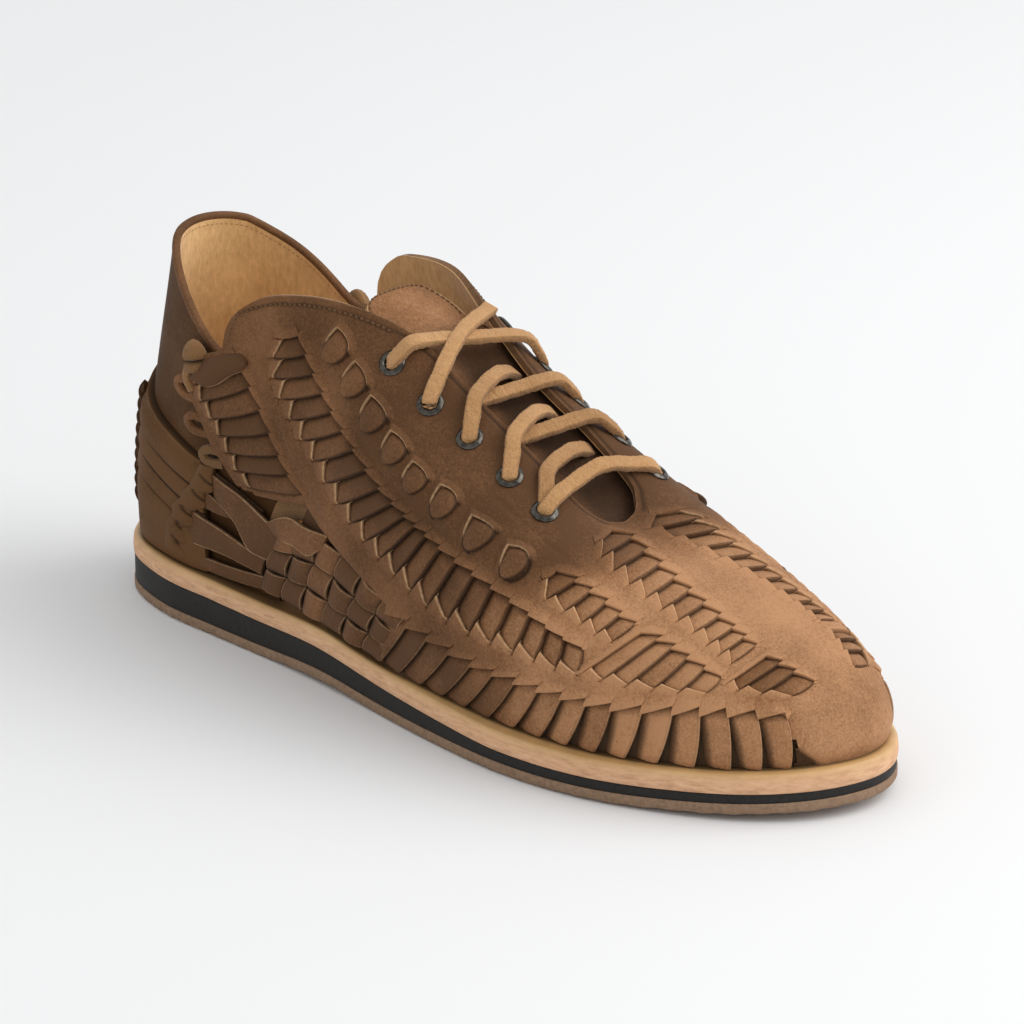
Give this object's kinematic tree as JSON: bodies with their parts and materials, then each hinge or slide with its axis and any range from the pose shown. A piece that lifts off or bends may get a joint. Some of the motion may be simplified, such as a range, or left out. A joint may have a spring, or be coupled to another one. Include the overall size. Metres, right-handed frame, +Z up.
{
  "type": "huarache boot",
  "caption": "Right ankle-high huarache boot: woven leather upper with plain toe cap, tall heel counter, thong lacing and a layered leather and rubber sole; stands empty on its sole.",
  "frame": {"origin": "on the floor, under the middle of the boot's box", "axes": "+X to the toe, -Y to the lateral (outer) side, +Z up"},
  "size_m": [0.3004, 0.1018, 0.1231],
  "materials": {
    "brown_leather": "oiled nubuck, dry with a soft nap",
    "dark_leather": "smooth oiled leather, slight sheen",
    "natural_leather": "natural veg-tanned edge, waxed on top",
    "lining_leather": "golden suede",
    "thong_leather": "split leather thong with fuzzy cut edges",
    "black_rubber": "matt",
    "tan_rubber": "sanded matt",
    "gunmetal": "dark polished plating"
  },
  "bodies": {
    "root": {"outsole": "tan_rubber", "midsole": "black_rubber", "leather_runner": "natural_leather", "insole": "lining_leather", "upper": "brown_leather", "heel_counter": "dark_leather", "heel_band": "dark_leather", "tongue": "brown_leather", "tie_lateral": "thong_leather", "tie_medial": "thong_leather", "lace_bar": "thong_leather", "lace_cross_low": "thong_leather", "lace_cross_high": "thong_leather", "lace_top": "thong_leather", "lace_end": "thong_leather", "eyelet_lateral_1": "gunmetal", "eyelet_lateral_2": "gunmetal", "eyelet_lateral_3": "gunmetal", "eyelet_lateral_4": "gunmetal", "eyelet_lateral_5": "gunmetal", "eyelet_medial_1": "gunmetal", "eyelet_medial_2": "gunmetal", "eyelet_medial_3": "gunmetal", "eyelet_medial_4": "gunmetal", "eyelet_medial_5": "gunmetal"}
  },
  "joints": []
}
